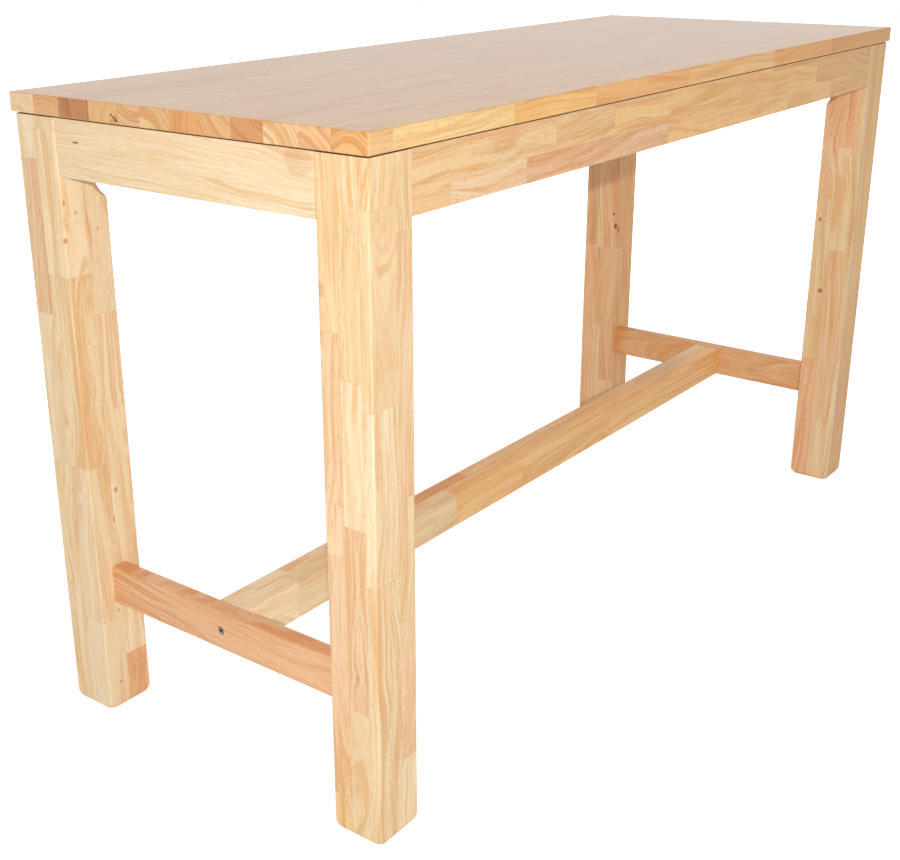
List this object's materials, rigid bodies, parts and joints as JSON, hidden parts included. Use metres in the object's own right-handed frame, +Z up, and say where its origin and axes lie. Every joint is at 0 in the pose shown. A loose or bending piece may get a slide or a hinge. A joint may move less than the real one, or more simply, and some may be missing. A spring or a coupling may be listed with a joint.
{
  "type": "bar table",
  "caption": "Tall rectangular bar table: board top on square legs joined by aprons, with end rails and a long centre stretcher near the floor that form an H-shaped footrest.",
  "frame": {"origin": "centre of the footprint on the floor", "axes": "+X along the table's length to the right, +Y across it to the back, +Z up"},
  "size_m": [1.8, 0.7, 1.05],
  "materials": {
    "top_board": "clear satin lacquer over glued-up staves, end grain on the short edges",
    "leg_timber": "clear satin lacquer over laminated strips with butt joints",
    "apron_timber": "clear satin lacquer over finger-length blocks, grain along the piece",
    "rail_timber": "clear satin lacquer on a single piece with arched grain",
    "stretcher_timber": "clear satin lacquer over laminated strips",
    "hidden_timber": "sanded, unlacquered",
    "dowel_timber": "turned, unlacquered",
    "zinc_hardware": "bright zinc plate",
    "bright_hardware": "nickel plate, dull in the socket",
    "yellow_zinc_screws": "yellow zinc plate"
  },
  "bodies": {
    "root": {"tabletop": "top_board", "leg_front_left": "leg_timber", "leg_front_right": "leg_timber", "leg_back_right": "leg_timber", "leg_back_left": "leg_timber", "apron_front": "apron_timber", "apron_back": "apron_timber", "apron_left": "apron_timber", "apron_right": "apron_timber", "end_rail_left": "rail_timber", "end_rail_right": "rail_timber", "stretcher": "stretcher_timber", "cross_rail": "hidden_timber", "corner_block_front_left": "hidden_timber", "corner_block_front_right": "hidden_timber", "corner_block_back_right": "hidden_timber", "corner_block_back_left": "hidden_timber", "cleat_front_left": "hidden_timber", "cleat_front_right": "hidden_timber", "cleat_back_left": "hidden_timber", "cleat_back_right": "hidden_timber", "cleat_left": "hidden_timber", "cleat_right": "hidden_timber", "hanger_bolts": "zinc_hardware", "hanger_washers": "zinc_hardware", "hanger_nuts": "zinc_hardware", "corner_block_screws": "yellow_zinc_screws", "top_screws": "yellow_zinc_screws", "cleat_screws": "yellow_zinc_screws", "apron_dowels": "dowel_timber", "cross_rail_dowels": "dowel_timber", "stretcher_dowels": "dowel_timber", "stretcher_bolts": "bright_hardware", "barrel_nuts": "zinc_hardware"}
  },
  "joints": []
}
